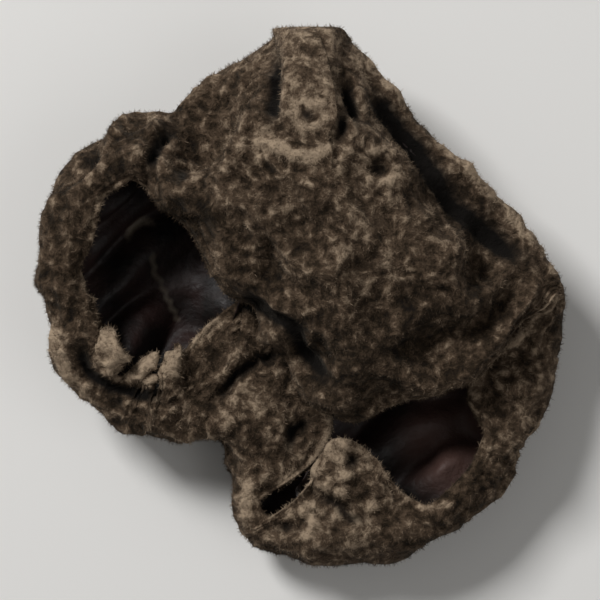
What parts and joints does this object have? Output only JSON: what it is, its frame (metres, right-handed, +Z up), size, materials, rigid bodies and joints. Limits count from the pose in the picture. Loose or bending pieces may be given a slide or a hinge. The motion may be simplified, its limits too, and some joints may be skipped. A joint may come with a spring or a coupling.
{
  "type": "wood ear mushroom",
  "caption": "dried wood ear mushroom, a thin crinkled sheet drawn into a flattened pouch with a small stub, felted back outside and a rolled margin round its open mouth",
  "frame": {"origin": "on the resting surface, under the middle of the piece's bounding box", "axes": "+Z up from the side it rests on, +Y towards the stub, +X across towards the narrow fold, away from the round whorl"},
  "size_m": [0.0268, 0.027, 0.01],
  "materials": {
    "dried_fungus": "dull brown-grey felt outside, darker and smoother inside"
  },
  "bodies": {
    "root": {"fruit_body": "dried_fungus"}
  },
  "joints": []
}
